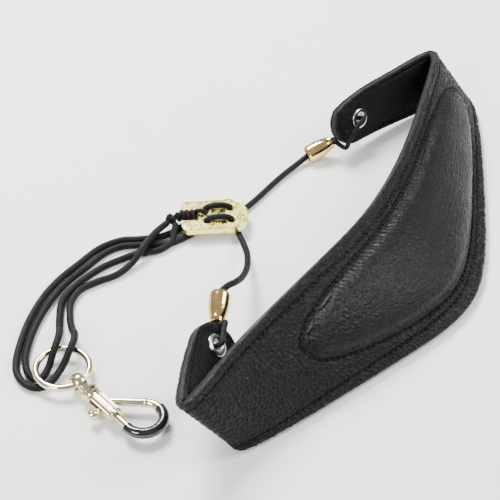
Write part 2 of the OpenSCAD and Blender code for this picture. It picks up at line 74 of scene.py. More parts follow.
camera_data = bpy.data.cameras.new("camera")
camera_data.sensor_width = SENSOR
camera_data.lens = SENSOR * CAMERA_DISTANCE / VIEW_WIDTH
camera_data.clip_start = 0.01
camera = bpy.data.objects.new("camera", camera_data)
camera.location = LOOK_AT + CAMERA_DISTANCE * Vector(
    (0, -math.cos(CAMERA_ELEVATION), math.sin(CAMERA_ELEVATION)))
camera.rotation_euler = (math.pi / 2 - CAMERA_ELEVATION, 0, 0)
scene.collection.objects.link(camera)
scene.camera = camera

FLOOR_SIZE = 12.0
FLOOR_GAP = 0.0002
floor_z = cad_low.z - FLOOR_GAP


def add_light(name, place, size, power):
    """A square soft light that faces the middle of the strap."""
    data = bpy.data.lights.new(name, "AREA")
    data.size = size
    data.energy = power
    light = bpy.data.objects.new(name, data)
    light.location = place
    light.rotation_mode = "QUATERNION"
    light.rotation_quaternion = (LOOK_AT - light.location).to_track_quat("-Z", "Y")
    scene.collection.objects.link(light)


add_light("key", (-0.32, 0.5, 0.85), 0.4, 26.0)
add_light("fill", (0.8, 0.1, 0.75), 0.5, 12.0)
add_light("front", (-0.5, -0.7, 0.6), 0.35, 8.0)

WORLD_COLOUR = (0.95, 0.97, 1.0, 1)
WORLD_STRENGTH = 0.48
world = bpy.data.worlds.new("studio")
world.use_nodes = True
background = world.node_tree.nodes["Background"]
background.inputs["Color"].default_value = WORLD_COLOUR
background.inputs["Strength"].default_value = WORLD_STRENGTH
scene.world = world


# -------------------- materials

class Graph:
    """A new material and short ways to add and join its nodes."""

    def __init__(self, name):
        self.material = bpy.data.materials.new(name)
        self.material.use_nodes = True
        self.nodes = self.material.node_tree.nodes
        self.links = self.material.node_tree.links
        self.shader = self.nodes["Principled BSDF"]
        self.place = self.nodes.new("ShaderNodeTexCoord").outputs["Object"]

    def set(self, **values):
        for key, value in values.items():
            self.shader.inputs[key.replace("_", " ")].default_value = value
        return self

    def link(self, output, socket):
        self.links.new(output, self.shader.inputs[socket])

    def feed(self, socket, value):
        """Joins an output to a socket, or sets the socket's own value."""
        if isinstance(value, bpy.types.NodeSocket):
            self.links.new(value, socket)
        else:
            socket.default_value = value

    def node(self, kind, settings=None, **inputs):
        made = self.nodes.new("ShaderNode" + kind)
        for key, value in (settings or {}).items():
            setattr(made, key, value)
        for key, value in inputs.items():
            self.feed(made.inputs[key.replace("_", " ")], value)
        return made

    def noise(self, scale, detail=3.0, rough=0.55):
        made = self.node("TexNoise", Vector=self.place, Scale=scale, Detail=detail, Roughness=rough)
        return made.outputs["Fac"]

    def cells(self, scale):
        made = self.node("TexVoronoi", {"feature": "DISTANCE_TO_EDGE"}, Vector=self.place, Scale=scale)
        return made.outputs["Distance"]

    def ramp(self, value, low, high, start=0.0, end=1.0):
        made = self.node("MapRange", {"interpolation_type": "SMOOTHSTEP"}, Value=value)
        for key, number in zip(("From Min", "From Max", "To Min", "To Max"), (low, high, start, end)):
            made.inputs[key].default_value = number
        return made.outputs["Result"]

    def mix(self, share, first, second):
        made = self.nodes.new("ShaderNodeMix")
        made.data_type = "RGBA"
        for index, value in ((0, share), (6, first), (7, second)):
            self.feed(made.inputs[index], (*value, 1) if isinstance(value, tuple) else value)
        return made.outputs[2]

    def maths(self, operation, a, b):
        made = self.node("Math", {"operation": operation})
        for socket, value in zip(made.inputs, (a, b)):
            self.feed(socket, value)
        return made.outputs[0]

    def bump(self, *layers):
        """Bumps one on another: (height output, depth in metres)."""
        normal = None
        for height, depth in layers:
            made = self.node("Bump", Height=height, Strength=1.0, Distance=depth)
            if normal is not None:
                self.links.new(normal, made.inputs["Normal"])
            normal = made.outputs["Normal"]
        self.link(normal, "Normal")


def leather(name, dark, light, cell, depth, rough):
    """Pebbled leather: painted shade darkens the creases between the pebbles and painted highlight lightens
    their tops; worn edges and a painted highlight on the pad's shoulder are lighter.
    """
    g = Graph(name)
    grain = g.ramp(g.cells(1 / cell), 0.0, 0.22)
    wear = g.node("Attribute", {"attribute_name": "wear"}).outputs["Fac"]
    patches = g.noise(45, 4)
    # Painted shade and highlight: the pebble tops take the light colour and the creases between them the
    # dark one.
    tone = g.mix(g.maths("MULTIPLY", grain, g.ramp(patches, 0.3, 0.7, 0.55, 1.0)), dark, light)
    # Lighter where the mesh attribute is high: real wear at the band's edges, and a painted highlight along
    # the pad's shoulder.
    wear_and_highlight_tone = tuple(min(1, 2.6 * x + 0.012) for x in light)
    g.link(g.mix(g.maths("MULTIPLY", wear, g.ramp(g.noise(380), 0.35, 0.65)), tone, wear_and_highlight_tone), "Base Color")
    g.link(g.ramp(g.maths("ADD", patches, g.noise(600)), 0.6, 1.4, rough - 0.07, rough + 0.09), "Roughness")
    g.bump((grain, depth), (g.noise(2600, 2), 0.00003))
    return g.set(Specular_IOR_Level=0.18).material


def metal(name, colour, tint, rough, spread=0.05, dirt=0.35):
    """Plated metal: small differences of tone, polish and a little dirt."""
    g = Graph(name)
    patches = g.noise(120, 4)
    tone = g.mix(g.ramp(patches, 0.35, 0.7), colour, tint)
    spots = g.ramp(g.noise(900, 5, 0.7), 0.62, 0.8, 0.0, dirt)
    g.link(g.mix(spots, tone, tuple(0.45 * x for x in colour)), "Base Color")
    g.link(g.ramp(g.noise(300, 4), 0.3, 0.7, rough - spread, rough + spread), "Roughness")
    g.bump((g.noise(420, 2), 0.00004), (g.noise(2500, 2), 0.000008))
    return g.set(Metallic=1.0).material


def fabric(name, dark, light, rough, sheen):
    """Braided or twisted yarn: fine fibres over the shape of its mesh."""
    g = Graph(name)
    relief = g.node("Attribute", {"attribute_name": "wear"}).outputs["Fac"]
    fibres = g.noise(3500, 2)
    # Painted shade and highlight: strand tops are lighter and the grooves between strands darker; on thread
    # the mesh attribute darkens each stitch towards its ends.
    painted_strand_light = g.ramp(relief, 0.45, 0.95)
    g.link(g.mix(g.maths("MULTIPLY", painted_strand_light, g.ramp(fibres, 0.2, 0.8, 0.5, 1.0)), dark, light), "Base Color")
    g.link(g.ramp(g.noise(200), 0.3, 0.7, rough - 0.06, rough + 0.06), "Roughness")
    g.bump((fibres, 0.00009))
    return g.set(Sheen_Weight=sheen, Sheen_Roughness=0.45, Specular_IOR_Level=0.16).material


def rubber():
    """Glossy dipped coating with a faint orange peel."""
    g = Graph("rubber_dip")
    tone = g.mix(g.ramp(g.noise(90), 0.35, 0.65), (0.004, 0.004, 0.0045), (0.011, 0.011, 0.012))
    g.link(tone, "Base Color")
    g.link(g.ramp(g.noise(220, 4), 0.35, 0.7, 0.13, 0.24), "Roughness")
    g.bump((g.noise(260, 2), 0.00012), (g.noise(1500, 2), 0.00001))
    return g.set(Coat_Weight=0.8, Coat_Roughness=0.06).material


def foam():
    """Cut foam edge, open and dull."""
    g = Graph("foam_edge")
    pores = g.ramp(g.cells(2600), 0.0, 0.3)
    # Painted shade: the foam is darker in the low grooves between its pores.
    g.link(g.mix(pores, (0.006, 0.006, 0.007), (0.035, 0.035, 0.038)), "Base Color")
    g.link(g.ramp(g.noise(400), 0.3, 0.7, 0.75, 0.95), "Roughness")
    g.bump((pores, 0.00012))
    return g.material


def floor_paint():
    """Plain pale paint."""
    g = Graph("floor_paint")
    g.link(g.mix(g.ramp(g.noise(6), 0.3, 0.7), (0.93, 0.93, 0.93), (0.95, 0.95, 0.95)), "Base Color")
    g.link(g.ramp(g.noise(30), 0.3, 0.7, 0.7, 0.8), "Roughness")
    return g.material


MATERIALS = {
    "leather": leather(
        "leather", (0.0006, 0.0006, 0.0008), (0.0042, 0.0042, 0.0052), 0.0008, 0.00007, 0.32),
    "lining_leather": leather(
        "lining_leather", (0.0008, 0.0008, 0.001), (0.0035, 0.0035, 0.004), 0.0007, 0.00007, 0.42),
    "foam": foam(),
    "thread": fabric("thread", (0.0008, 0.0008, 0.001), (0.005, 0.005, 0.0055), 0.6, 0.03),
    "nickel": metal("nickel", (0.78, 0.78, 0.79), (0.66, 0.66, 0.68), 0.2),
    "cord": fabric("cord", (0.0004, 0.0004, 0.0005), (0.016, 0.016, 0.018), 0.5, 0.02),
    "bead_gold": metal("bead_gold", (0.88, 0.62, 0.27), (0.80, 0.50, 0.19), 0.15, 0.04),
    "plate_gold": metal("plate_gold", (0.95, 0.86, 0.31), (0.88, 0.76, 0.24), 0.28, 0.07),
    "hook_gold": metal("hook_gold", (0.87, 0.78, 0.55), (0.80, 0.69, 0.45), 0.15, 0.05),
    "rubber_dip": rubber(),
    "spring_steel": metal("spring_steel", (0.6, 0.6, 0.62), (0.5, 0.5, 0.52), 0.28),
}

bpy.ops.mesh.primitive_grid_add(
    x_subdivisions=2, y_subdivisions=2, size=FLOOR_SIZE, location=(0, 0, floor_z))
floor = bpy.context.object
floor.name = "floor"
floor.data.materials.append(floor_paint())


# -------------------- meshes

# A direction that no line in this script runs along, to measure turns from
ASIDE = (0.13, 0.17, 0.98)


def unit(v):
    return v / np.maximum(np.linalg.norm(v, axis=-1, keepdims=True), 1e-12)


def running_length(line):
    """How far along the line each of its points is."""
    return np.concatenate([[0], np.cumsum(np.linalg.norm(np.diff(line, axis=0), axis=1))])


def full_turn(count):
    """Angles evenly round a circle."""
    return np.arange(count) * 2 * math.pi / count


def gathered(count, share):
    """Places from -1 to 1 that lie closer together near both ends."""
    t = np.linspace(-1, 1, count)
    return (1 - share) * t + share * np.sin(t * math.pi / 2)


def bell(distance, width):
    """1 at no distance, falling smoothly to 0 past the width."""
    return np.exp(-(distance / width) ** 2)


def eased(t):
    return t * t * (3 - 2 * t)


def make(name, points, faces, slot, wear):
    """A mesh object from points in millimetres, with its faces turned outwards."""
    points = np.asarray(points, float)
    triangles = np.array([(f[0], f[k], f[k + 1]) for f in faces for k in range(1, len(f) - 1)])
    a, b, c = (points[triangles[:, k]] for k in range(3))
    if (a * np.cross(b, c)).sum() < 0:
        faces = [tuple(reversed(f)) for f in faces]
    mesh = bpy.data.meshes.new(name)
    mesh.from_pydata((points * MM).tolist(), [], faces)
    mesh.polygons.foreach_set("use_smooth", [True] * len(mesh.polygons))
    attribute = mesh.attributes.new("wear", "FLOAT", "POINT")
    attribute.data.foreach_set("value", np.asarray(wear, np.float32).ravel())
    mesh.materials.append(MATERIALS[slot])
    mesh.validate()
    made = bpy.data.objects.new(name, mesh)
    scene.collection.objects.link(made)
    return made


def loft_faces(rows, ring, start=0, closed=False):
    """Faces that join rows of a closed ring of points, with a cap at each end unless it is closed."""
    faces = []
    for i in range(rows if closed else rows - 1):
        here, there = start + i * ring, start + (i + 1) % rows * ring
        faces += [(here + k, here + (k + 1) % ring, there + (k + 1) % ring, there + k) for k in range(ring)]
    if not closed:
        last = start + (rows - 1) * ring
        faces += [tuple(range(start + ring - 1, start - 1, -1)), tuple(range(last, last + ring))]
    return faces


class Parts:
    """Several closed shapes gathered into one mesh."""

    def __init__(self):
        self.points, self.faces, self.wear, self.count = [], [], [], 0

    def add(self, rings, wear=None, closed=False):
        rows, ring = rings.shape[:2]
        self.faces += loft_faces(rows, ring, self.count, closed)
        self.points.append(rings.reshape(-1, 3))
        self.wear.append(np.zeros(rows * ring) if wear is None else np.asarray(wear).ravel())
        self.count += rows * ring

    def make(self, name, slot):
        return make(name, np.vstack(self.points), self.faces, slot, np.concatenate(self.wear))


def lofted(name, slot, rings, wear=None, closed=False):
    """A mesh object that is one closed shape."""
    parts = Parts()
    parts.add(rings, wear, closed)
    return parts.make(name, slot)


def scatter(cell, seed):
    """Three repeatable values from 0 to 1 for each whole-numbered cell."""
    h = (cell[..., 0] * 73856093) ^ (cell[..., 1] * 19349663) ^ (cell[..., 2] * 83492791) ^ (seed * 7919)
    out = []
    for _ in range(3):
        h = ((h ^ (h >> 13)) & 0x7FFFFFFF) * 1274126177 & 0x7FFFFFFF
        out.append((h >> 8 & 0xFFFF) / 65535)
    return np.stack(out, -1)


CREASE = 0.4  # half the width of a crease, as a share of a pebble


def pebbles(points, size, seed):
    """Height from 0 in the creases to 1 on top of each pebble, for points in millimetres."""
    q = points / size
    cell = np.floor(q).astype(np.int64)
    first = np.full(q.shape[:-1], 9.0)
    second = first.copy()
    for offset in np.ndindex(3, 3, 3):
        near = cell + np.array(offset) - 1
        away = np.linalg.norm(near + 0.1 + 0.8 * scatter(near, seed) - q, axis=-1)
        second = np.minimum(second, np.maximum(first, away))
        first = np.minimum(first, away)
    return eased(np.clip((second - first) / CREASE, 0, 1))


def drift(points, size, seed):
    """Smooth noise from 0 to 1, for points in millimetres."""
    q = np.asarray(points, float) / size
    cell = np.floor(q).astype(np.int64)
    t = eased(q - cell)
    total = 0
    for corner in np.ndindex(2, 2, 2):
        c = np.array(corner)
        total = total + np.prod(np.where(c == 1, t, 1 - t), -1) * scatter(cell + c, seed)[..., 0]
    return total


def tree_of(points):
    """A tree that finds the nearest of the points."""
    tree = KDTree(len(points))
    for i, p in enumerate(points):
        tree.insert(p, i)
    tree.balance()
    return tree


def distance_to(points, line):
    """How far each point is from a close line of points."""
    tree = tree_of(line)
    return np.array([tree.find(p)[2] for p in points.reshape(-1, 3)]).reshape(points.shape[:-1])


def spaced(line, step):
    """The line again, with points about step apart."""
    along = running_length(line)
    at = np.linspace(0, along[-1], max(2, math.ceil(along[-1] / step) + 1))
    return np.stack([np.interp(at, along, line[:, k]) for k in range(line.shape[1])], axis=1)


def longer(points):
    """The points with one more at each end, straight on."""
    p = np.asarray(points, float)
    return np.vstack([2 * p[0] - p[1], p, 2 * p[-1] - p[-2]])


def through(points, per=12):
    """A smooth line through every point."""
    p = longer(points)
    out = []
    for i in range(1, len(p) - 2):
        t = np.linspace(0, 1, per, endpoint=False)[:, None]
        a, b, c, d = p[i - 1:i + 3]
        out.append(0.5 * (2 * b + (c - a) * t + (2 * a - 5 * b + 4 * c - d) * t ** 2
                          + (3 * b - a - 3 * c + d) * t ** 3))
    return np.vstack(out + [p[-2:-1]])


def across_line(line, up):
    """Two directions across a line, at each of its points, that don't twist."""
    tangent = unit(np.gradient(line, axis=0))
    side = np.cross(tangent[0], up)
    sides = []
    for t in tangent:
        side = side - t * (side @ t)
        side = side / np.linalg.norm(side)
        sides.append(side)
    sides = np.array(sides)
    return sides, np.cross(tangent, sides)


def sweep(line, radius, ring, up=ASIDE):
    """Rings of points round a line. radius is one number, or one for each ring or each ring point."""
    a, b = across_line(line, up)
    turn = full_turn(ring)
    radius = np.broadcast_to(np.asarray(radius, float), (len(line), ring))
    return (line[:, None] + radius[..., None] * (np.cos(turn)[None, :, None] * a[:, None]
                                                + np.sin(turn)[None, :, None] * b[:, None]))


BRAID_STRANDS = 6
BRAID_PITCH = 2.8  # length of one turn of a strand, in cord diameters
BRAID_DEPTH = 0.22  # height of a strand, as a share of the cord's radius
BRAID_RING = 40  # points round the cord
BRAID_STEP = 0.34  # length between rings


def braid(line, diameter, round_end=True):
    """Rings and relief of a braided cord: strands run both ways and pass over and under."""
    line = spaced(line, BRAID_STEP)
    along = running_length(line)
    turn = np.arange(BRAID_RING) / BRAID_RING
    climb = (along / (BRAID_PITCH * diameter))[:, None]
    a = BRAID_STRANDS * (turn[None] + climb)
    b = BRAID_STRANDS * (turn[None] - climb)
    over = (np.floor(a) + np.floor(b)) % 2 == 0
    width, length = np.where(over, a, b) % 1, np.where(over, b, a) % 1
    relief = np.sin(math.pi * width) ** 0.6 * (0.45 + 0.55 * np.sin(math.pi * length) ** 0.7)
    r = diameter / 2
    radius = r * (1 - BRAID_DEPTH) + r * BRAID_DEPTH * relief
    if round_end:
        left = np.minimum(along, along[-1] - along)[:, None]
        ball = np.clip(left * (2 * r - left) / (r * r), 0.02, 1)
        radius = radius * np.sqrt(ball ** np.where(left < r, 1, 0))
    # The relief is also kept on the mesh, where the cord's material uses it to paint shade in the grooves
    # between strands.
    return sweep(line, radius, BRAID_RING), relief


def cord_piece(name, line, diameter):
    return lofted(name, "cord", *braid(line, diameter))


# -------------------- the cords, first

NECK_CORD_D = 3.3
HOOK_CORD_D = 3.6
LOWER_NECK = [
    [-28, -58.2, 26.9], [-27.2, -54, 28.3], [-24.2, -49.8, 27.6], [-20, -43, 23.4], [-17, -32, 16.6],
    [-15, -19, 11], [-15, -6, 7], [-17, 5, 4], [-19, 12.5, 2.4], [-20.6, 18.1, 1.9]]
UPPER_NECK = [
    [19.8, 77.2, 5.4], [16.3, 75.5, 4], [11.8, 71.3, 2.4], [4, 63, 2], [-4, 52, 1.8],
    [-10, 43, 1.8], [-16, 35.4, 1.8], [-20, 31.1, 1.9]]
HOOK_OUTER = [
    [-40.5, 27.7, 1.9], [-45, 25, 1.9], [-51, 18, 1.9], [-59, 13, 1.9], [-69, 11, 1.9], [-79, 10, 1.9],
    [-89, 4, 1.9], [-98, -7, 1.9], [-107, -19, 1.9], [-114, -33, 1.9], [-119, -51, 1.9], [-121, -69, 1.9],
    [-120, -80, 1.9], [-115, -87.5, 1.9], [-109, -89.5, 1.9], [-103.5, -86, 2.1], [-99, -79, 4.6],
    [-96, -72.4, 8.6], [-94.5, -66.8, 9.5], [-95, -60.6, 7.4], [-97, -54, 3.2], [-99, -45, 1.9],
    [-99.5, -35, 1.9], [-96, -26, 1.9], [-88, -20, 1.9], [-79, -15, 1.9], [-72, -8, 3.1],
    [-67, 0, 6.2], [-62, 10, 6.2], [-59, 14.6, 6.1], [-55.95, 18.1, 6.4], [-54.9, 19.2, 6.6]]
HOOK_INNER = [
    [-40, 18.7, 1.9], [-45, 14, 1.9], [-52, 9, 1.9], [-60, 7, 1.9], [-69, 6.5, 1.9], [-78, 5.5, 1.9],
    [-86, 0.5, 1.9], [-94, -9.5, 1.9], [-103, -21, 1.9], [-110, -35, 1.9], [-115, -52, 1.9],
    [-117, -68, 1.9], [-116, -77, 1.9], [-113, -83, 1.9], [-108.5, -84, 1.9], [-105.5, -79, 3.6],
    [-103.5, -73.4, 8], [-102, -67.3, 9.9], [-102, -60.6, 7.9], [-103, -54, 3.4], [-104, -45, 1.9],
    [-104, -35, 1.9], [-100.5, -26, 1.9], [-94, -17.5, 1.9], [-86, -9.5, 1.9], [-77, -3.5, 1.9],
    [-68, 1, 1.9], [-60, 2.5, 1.9], [-53.5, 8, 2.4], [-52.3, 13, 3.9], [-51.6, 17, 5.6],
    [-52.1, 18.7, 6.3]]


def spline(points, u):
    """Uniform cubic B-spline through a list of points, at places u from 0 to the last index."""
    p, u = longer(points), np.asarray(u, float)
    i = np.clip(np.floor(u).astype(int), 0, len(p) - 4)
    t = (u - i)[..., None]
    return ((1 - t) ** 3 * p[i] + (3 * t ** 3 - 6 * t ** 2 + 4) * p[i + 1]
            + (-3 * t ** 3 + 3 * t ** 2 + 3 * t + 1) * p[i + 2] + t ** 3 * p[i + 3]) / 6


def cad_smooth(points):
    """The corner points that the CAD route has after its smoothing."""
    return spline(points, np.arange(len(points)))


CORDS = {
    "lower_neck_cord": (through(cad_smooth(LOWER_NECK)), NECK_CORD_D),
    "upper_neck_cord": (through(cad_smooth(UPPER_NECK)), NECK_CORD_D),
    "hook_cord_outer": (through(HOOK_OUTER), HOOK_CORD_D),
    "hook_cord_inner": (through(HOOK_INNER), HOOK_CORD_D),
}
cords = {name: cord_piece(name + "_braid", line, diameter) for name, (line, diameter) in CORDS.items()}


# -------------------- the band's surface

BAND = [
    [[-37.7, -78.5, 35], [-23.5, -71, 20]], [[-39.5, -92, 35], [-20.3, -80.9, 16]],
    [[-42.4, -107.2, 35.5], [-19.3, -95, 9]], [[-43, -120, 37], [-18.4, -110.5, 4]],
    [[-43.5, -127.5, 39], [-21.5, -121.5, 2]], [[-42.5, -135.5, 40], [-17.5, -125.5, 2]],
    [[-34.5, -124, 40], [-6.5, -119, 2]],
    [[-22, -101, 40], [17, -102, 2]], [[2, -67, 40], [55, -72, 2]], [[23, -37, 39], [84, -49, 2]],
    [[41, -11, 38], [100, -22, 2]], [[59, 27, 37], [106, 32, 2]], [[72, 68, 36], [110, 81, 2]],
    [[82, 105, 34.5], [111, 103, 2]], [[89, 133, 32], [111, 129, 2]], [[83, 136, 31], [100, 131, 2]],
    [[65, 118, 30.5], [81, 119, 2]], [[45, 102, 29.5], [58, 101, 4]], [[33, 87.5, 28], [42.5, 87, 5.5]],
    [[27, 79, 27], [35, 79, 6]]]
UPPER_EDGE = [s[0] for s in BAND]
LOWER_EDGE = [s[1] for s in BAND]
BAND_END = len(BAND) - 1
TAB_ROUND = 0.9
LEATHER_T, FOAM_T, LINING_T = 1.3, 1.6, 1.1
STACK_T = LEATHER_T + FOAM_T + LINING_T
OUTER_FACE, LINING_FACE = STACK_T / 2, -STACK_T / 2
FOAM_LOW, FOAM_HIGH = LINING_FACE + LINING_T, OUTER_FACE - LEATHER_T
STITCH_INSET = 0.1
PAD_FROM, PAD_TO = 7.45, 13.35
PAD_LOW, PAD_HIGH = 0.17, 0.84
PAD_H, PAD_COVER_T = 7.0, 1.2
EYELETS_AT = {"lower": 1.0, "upper": 17.62}
LOWER_RIM_AT, UPPER_RIM_AT = (0.04, 0.64), (19.01, 0.86)
EYELET_R, EYELET_WALL, EYELET_D = 2.5, 0.5, 11.0
FLANGE_T, FLANGE_GAP = 0.8, 0.3


def on_band(s, v):
    """Points of the band's middle surface: station s, share v of the width from the upper edge."""
    s, v = np.broadcast_arrays(np.asarray(s, float), np.asarray(v, float))
    return (1 - v)[..., None] * spline(UPPER_EDGE, s) + v[..., None] * spline(LOWER_EDGE, s)


def band_normal(s, v):
    """The direction out of the band, away from the neck."""
    s, v = np.broadcast_arrays(np.asarray(s, float), np.asarray(v, float))
    ahead = on_band(np.minimum(BAND_END, s + 0.1), v) - on_band(np.maximum(0, s - 0.1), v)
    return unit(np.cross(spline(LOWER_EDGE, s) - spline(UPPER_EDGE, s), ahead))


def off_band(s, v, d):
    """Points d outside the band's middle surface."""
    d = np.asarray(d, float)[..., None]
    return on_band(s, v) + d * band_normal(s, v)


def round_share(e):
    """Half width of a round end, at a share e of its reach."""
    return np.where(e >= 1, 1, np.sqrt(np.clip(1 - (1 - e) ** 2, 0, 1)))


def half_share(s):
    """Half of the band's width as a share, round at both tabs."""
    return 0.5 * np.minimum(round_share(s / TAB_ROUND), round_share((BAND_END - s) / TAB_ROUND))


# Rows of the band, evenly spaced along it and closer at the round tabs
ROW_STEP = 0.42
BAND_COLS = 120
fine_s = np.linspace(0, BAND_END, 4000)
band_along = running_length(on_band(fine_s, 0.5))
BAND_LENGTH = band_along[-1]


def s_at(distance):
    """The station that is a distance along the band's middle."""
    return np.interp(distance, band_along, fine_s)


def distance_at(s):
    return float(np.interp(s, fine_s, band_along))


tab_mm = distance_at(TAB_ROUND)
tab_end_mm = BAND_LENGTH - distance_at(BAND_END - TAB_ROUND)
tab_rows = 1 - np.cos(np.linspace(0.06, math.pi / 2, 26))
row_places = np.concatenate([
    tab_mm * tab_rows[:-1],
    np.arange(tab_mm, BAND_LENGTH - tab_end_mm, ROW_STEP),
    BAND_LENGTH - tab_end_mm * tab_rows[::-1]])
BAND_ROWS = s_at(row_places)
BAND_SHARE = gathered(BAND_COLS, 0.26)

outline_s = s_at(np.linspace(0, BAND_LENGTH, 5000))
outline = np.vstack([on_band(outline_s, 0.5 - half_share(outline_s)),
                     on_band(outline_s, 0.5 + half_share(outline_s))])

# The border seam: a closed line on the band's middle surface, with its station and share
SEAM_END = 0.55
SEAM_BOW = 0.16
stitch_s = s_at(np.linspace(distance_at(SEAM_END), distance_at(BAND_END - SEAM_END), 1800))


def end_turn(s, away):
    """The border seam's turn round a tab, as stations and shares."""
    j = np.linspace(0, 1, 60)[1:-1]
    return s + away * SEAM_BOW * np.sin(j * math.pi), STITCH_INSET + j * (1 - 2 * STITCH_INSET)


turn_far = end_turn(stitch_s[-1], 1)
turn_near = end_turn(stitch_s[0], -1)
border_s = np.concatenate([stitch_s, turn_far[0], stitch_s[::-1], turn_near[0][::-1]])
border_v = np.concatenate([np.full(len(stitch_s), STITCH_INSET), turn_far[1],
                           np.full(len(stitch_s), 1 - STITCH_INSET), turn_near[1][::-1]])
border_line = on_band(border_s, border_v)

# The pad's outline, and its seam a little outside it
PAD_MID_S, PAD_HALF_S = (PAD_FROM + PAD_TO) / 2, (PAD_TO - PAD_FROM) / 2
PAD_MID_V, PAD_HALF_V = (PAD_LOW + PAD_HIGH) / 2, (PAD_HIGH - PAD_LOW) / 2


def pad_share(s):
    """Half width of the pad as a share of its widest, narrowing to round ends."""
    q = np.abs(s - PAD_MID_S) / PAD_HALF_S
    return np.clip(1 - q ** 3.2, 0.0004, 1) ** 0.42


def crown(s, r):
    """Share of the pad's height at station s, r from its middle to its edge."""
    q = np.clip(np.abs(s - PAD_MID_S) / PAD_HALF_S, 0, 1)
    return np.clip(1 - q ** 4, 0, 1) ** 0.5 * np.clip(1 - np.abs(r) ** 3, 0, 1) ** 0.5


PAD_EDGE_POINTS = 900
pad_turn = np.linspace(0, math.pi, PAD_EDGE_POINTS)
pad_s = PAD_MID_S - PAD_HALF_S * np.cos(pad_turn)
SEAM_LONGER, SEAM_WIDER, SEAM_OUT = 1.012, 1.02, 0.008
seam_s = PAD_MID_S + (pad_s - PAD_MID_S) * SEAM_LONGER
seam_w = PAD_HALF_V * pad_share(pad_s) * SEAM_WIDER + SEAM_OUT
pad_seam_s = np.concatenate([seam_s, seam_s[::-1]])
pad_seam_v = np.concatenate([PAD_MID_V - seam_w, (PAD_MID_V + seam_w)[::-1]])
pad_seam_line = on_band(pad_seam_s, pad_seam_v)
pad_w = PAD_HALF_V * pad_share(pad_s)
pad_rim_line = on_band(np.concatenate([pad_s, pad_s]),
                       np.concatenate([PAD_MID_V - pad_w, PAD_MID_V + pad_w]))

EDGE_ROUND = 0.7
SEAM_DEPTH, SEAM_WIDTH = 0.5, 0.75


def face_grid(inset):
    """Stations, shares and middle-surface points of the band's rows, drawn in at the edges by inset."""
    width = np.linalg.norm(spline(LOWER_EDGE, BAND_ROWS) - spline(UPPER_EDGE, BAND_ROWS), axis=1)
    half = np.maximum(half_share(BAND_ROWS) - inset / width, 0.01)
    s = np.repeat(BAND_ROWS[:, None], BAND_COLS, 1)
    v = 0.5 + half[:, None] * BAND_SHARE[None]
    return s, v, on_band(s, v)


BORDER_CROWN, CROWN_AT, CROWN_WIDTH = 0.30, 2.0, 1.4
PAD_SEAM_DEPTH, PAD_SEAM_WIDTH = 0.55, 0.9
CALM_FROM, CALM_WIDTH = 4.6, 1.5
EYELET_DIP, DIP_REACH = 0.12, 6.0
SWELL, SWELL_SIZE = 0.25, 14
EDGE_WEAR_WIDTH = 0.8
# Size and height of the pebbles on each leather
OUTER_GRAIN, LINING_GRAIN, PAD_GRAIN = (1.9, 0.46), (1.4, 0.28), (1.6, 0.26)


def face_relief(middle, grain, pad_seam, seed):
    """How far a face stands out: rolled border, sewn grooves, pebbles, flat round the eyelets."""
    edge = distance_to(middle, outline)
    border = distance_to(middle, border_line)
    rolled = np.clip(1 - edge / EDGE_ROUND, 0, 1)
    height = -EDGE_ROUND * (1 - np.sqrt(1 - rolled ** 2))
    height += BORDER_CROWN * bell(edge - CROWN_AT, CROWN_WIDTH)
    height -= SEAM_DEPTH * bell(border, SEAM_WIDTH)
    if pad_seam:
        height -= PAD_SEAM_DEPTH * bell(distance_to(middle, pad_seam_line), PAD_SEAM_WIDTH)
    calm = np.ones_like(edge)
    for at in EYELETS_AT.values():
        away = np.linalg.norm(middle - on_band(at, 0.5), axis=-1)
        calm *= np.clip((away - CALM_FROM) / CALM_WIDTH, 0, 1)
        height -= EYELET_DIP * np.clip((DIP_REACH - away) / CALM_WIDTH, 0, 1)
    grain_size, grain_height = grain
    height += grain_height * calm * (pebbles(middle, grain_size, seed) - 0.5)
    height += SWELL * (drift(middle, SWELL_SIZE, seed) - 0.5) * np.clip(edge / 6, 0, 1) * calm
    return height, bell(edge, EDGE_WEAR_WIDTH)


FLAT_COLS = 12


def every_few(cols, kept):
    """Indexes of the columns that a flat face keeps."""
    return np.linspace(0, cols - 1, kept).round().astype(int)


def layer(name, low, high, slot, inset, outside=None, inside=None):
    """One closed layer of the band. outside and inside shape its faces; a face without one is flat."""
    s, v, middle = face_grid(inset)
    flat = (np.zeros_like(s), np.zeros_like(s))
    up, wear_up = outside(middle) if outside else flat
    down, wear_down = inside(middle) if inside else flat
    keep_up = slice(None) if outside else every_few(BAND_COLS, FLAT_COLS)
    keep_down = slice(None) if inside else every_few(BAND_COLS, FLAT_COLS)
    top = off_band(s, v, high + up)[:, keep_up]
    under = off_band(s, v, low - down)[:, keep_down][:, ::-1]
    shade = np.concatenate([wear_up[:, keep_up], wear_down[:, keep_down][:, ::-1]], axis=1)
    return lofted(name, slot, np.concatenate([top, under], axis=1), shade)


def eyelet_axis(at):
    return on_band(at, 0.5), band_normal(at, 0.5)


def axes(direction):
    """Three directions square to each other, the first along the one given."""
    d = unit(np.asarray(direction, float))
    a = unit(np.cross(d, ASIDE))
    return d, a, np.cross(d, a)


def along_axis(place, direction, profile, ring):
    """Rings of a turned shape: profile is (radius, height) pairs from one end round to the other."""
    d, a, b = axes(direction)
    turn = full_turn(ring)
    return np.array([
        [place + h * d + r * (math.cos(t) * a + math.sin(t) * b) for t in turn]
        for r, h in profile])


HOLE_R = EYELET_R + EYELET_WALL + 0.12
HOLE_REACH = 9


def applied(piece):
    """A piece's mesh, once its modifiers are applied to it."""
    shown = piece.evaluated_get(bpy.context.evaluated_depsgraph_get())
    mesh = bpy.data.meshes.new_from_object(shown)
    piece.modifiers.clear()
    piece.data = mesh
    return mesh


